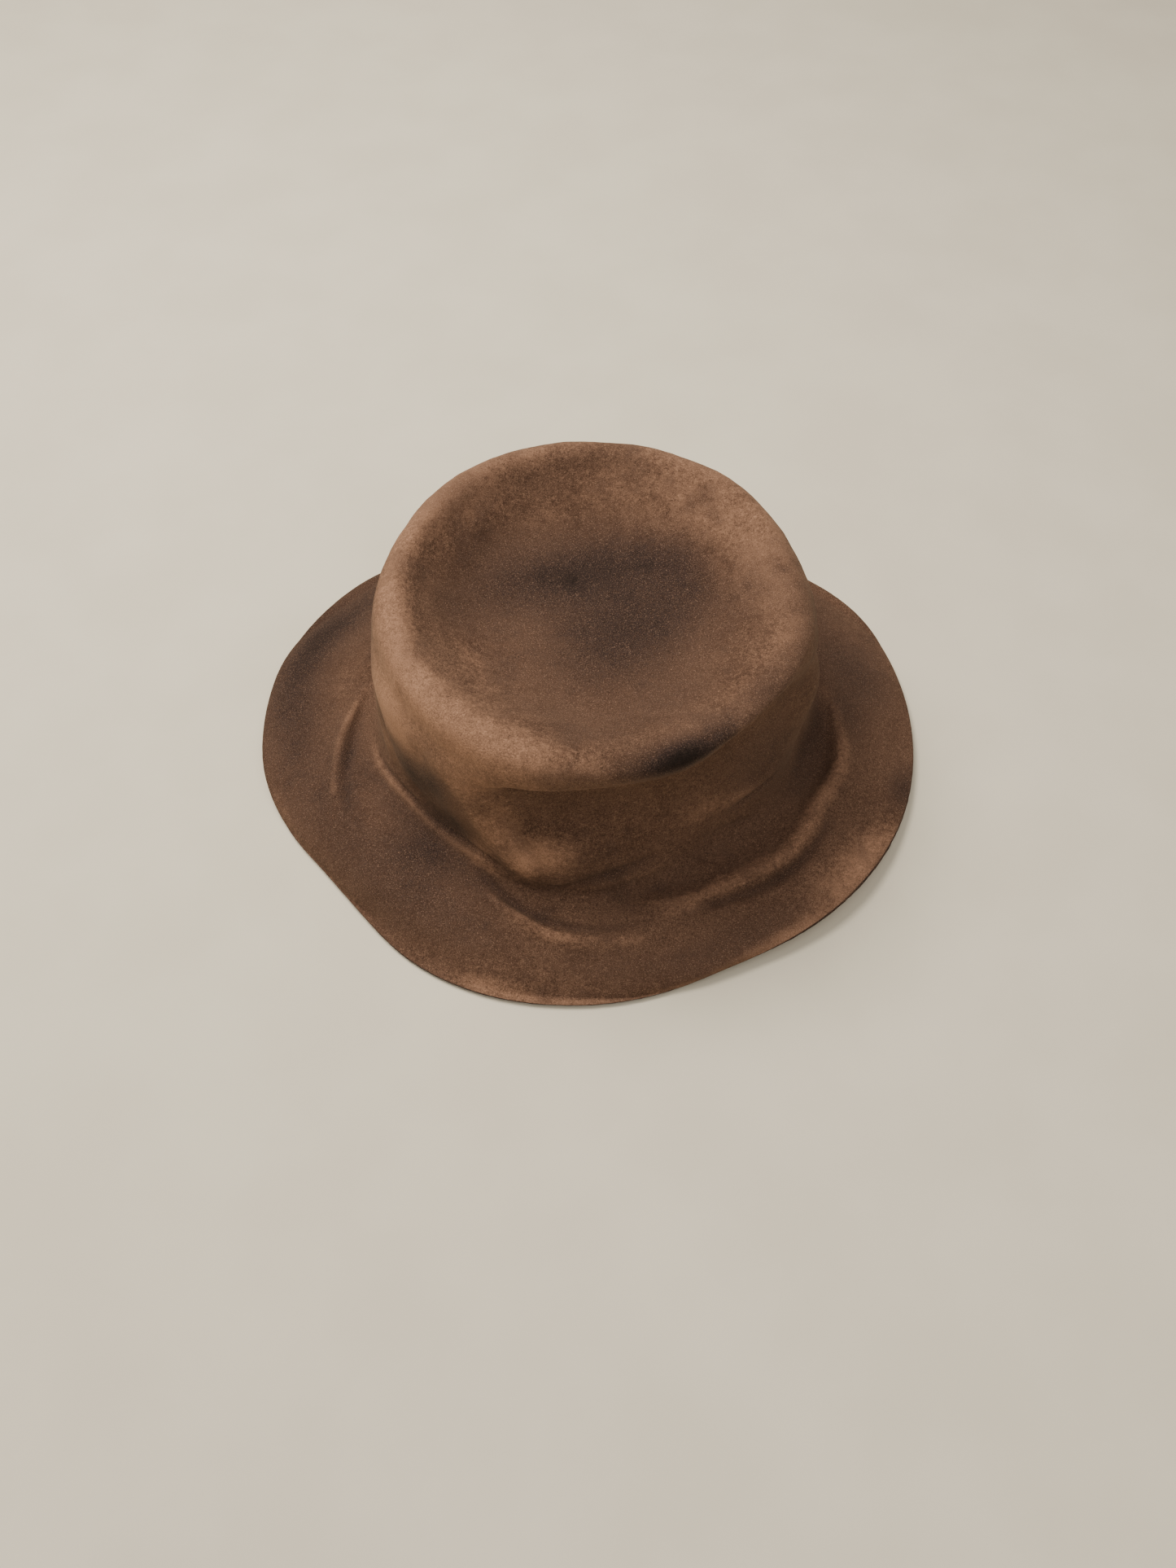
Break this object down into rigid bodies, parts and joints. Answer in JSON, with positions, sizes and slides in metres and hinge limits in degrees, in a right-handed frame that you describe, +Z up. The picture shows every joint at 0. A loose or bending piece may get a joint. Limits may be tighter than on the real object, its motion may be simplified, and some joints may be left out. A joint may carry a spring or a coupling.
{
  "type": "felt hat",
  "caption": "Soft one-piece wool felt hat with a collapsed, dished crown and a full wavy brim, fitted with a leather sweatband and a swinging care label.",
  "frame": {"origin": "on the floor plane, under the middle of the hat's bounding box, with the hat resting on its brim, crown up", "axes": "+Z up through the crown, +X to the wearer's front along the long axis of the head opening, +Y to the wearer's left"},
  "size_m": [0.3137, 0.2737, 0.1138],
  "materials": {
    "felt": "worn brown wool felt with dark soot stains and pale rubbed edges",
    "sweatband_leather": "smooth brown leather, darkened by wear",
    "reed_plastic": "translucent cream cord",
    "tape_cloth": "dark brown woven tape",
    "ribbon": "dark ribbed ribbon",
    "label_cloth": "cream woven satin, blank",
    "thread": "waxed sewing thread"
  },
  "bodies": {
    "hat": {"felt_body": "felt", "sweatband": "sweatband_leather", "sweatband_reed": "reed_plastic", "reed_tape": "tape_cloth", "seam_backing": "tape_cloth", "tape_stitching": "thread", "felling_thread": "thread", "seam_thread": "thread", "sweatband_bow": "ribbon", "label_stitches": "thread"},
    "label": {"care_label": "label_cloth"}
  },
  "joints": [
    {"name": "label_swing", "type": "hinge", "parent": "hat", "child": "label", "pos_m": [-0.08812, 0.00158, 0.05643], "axis": [0, -1, 0], "range_deg": [-5, 110]}
  ]
}
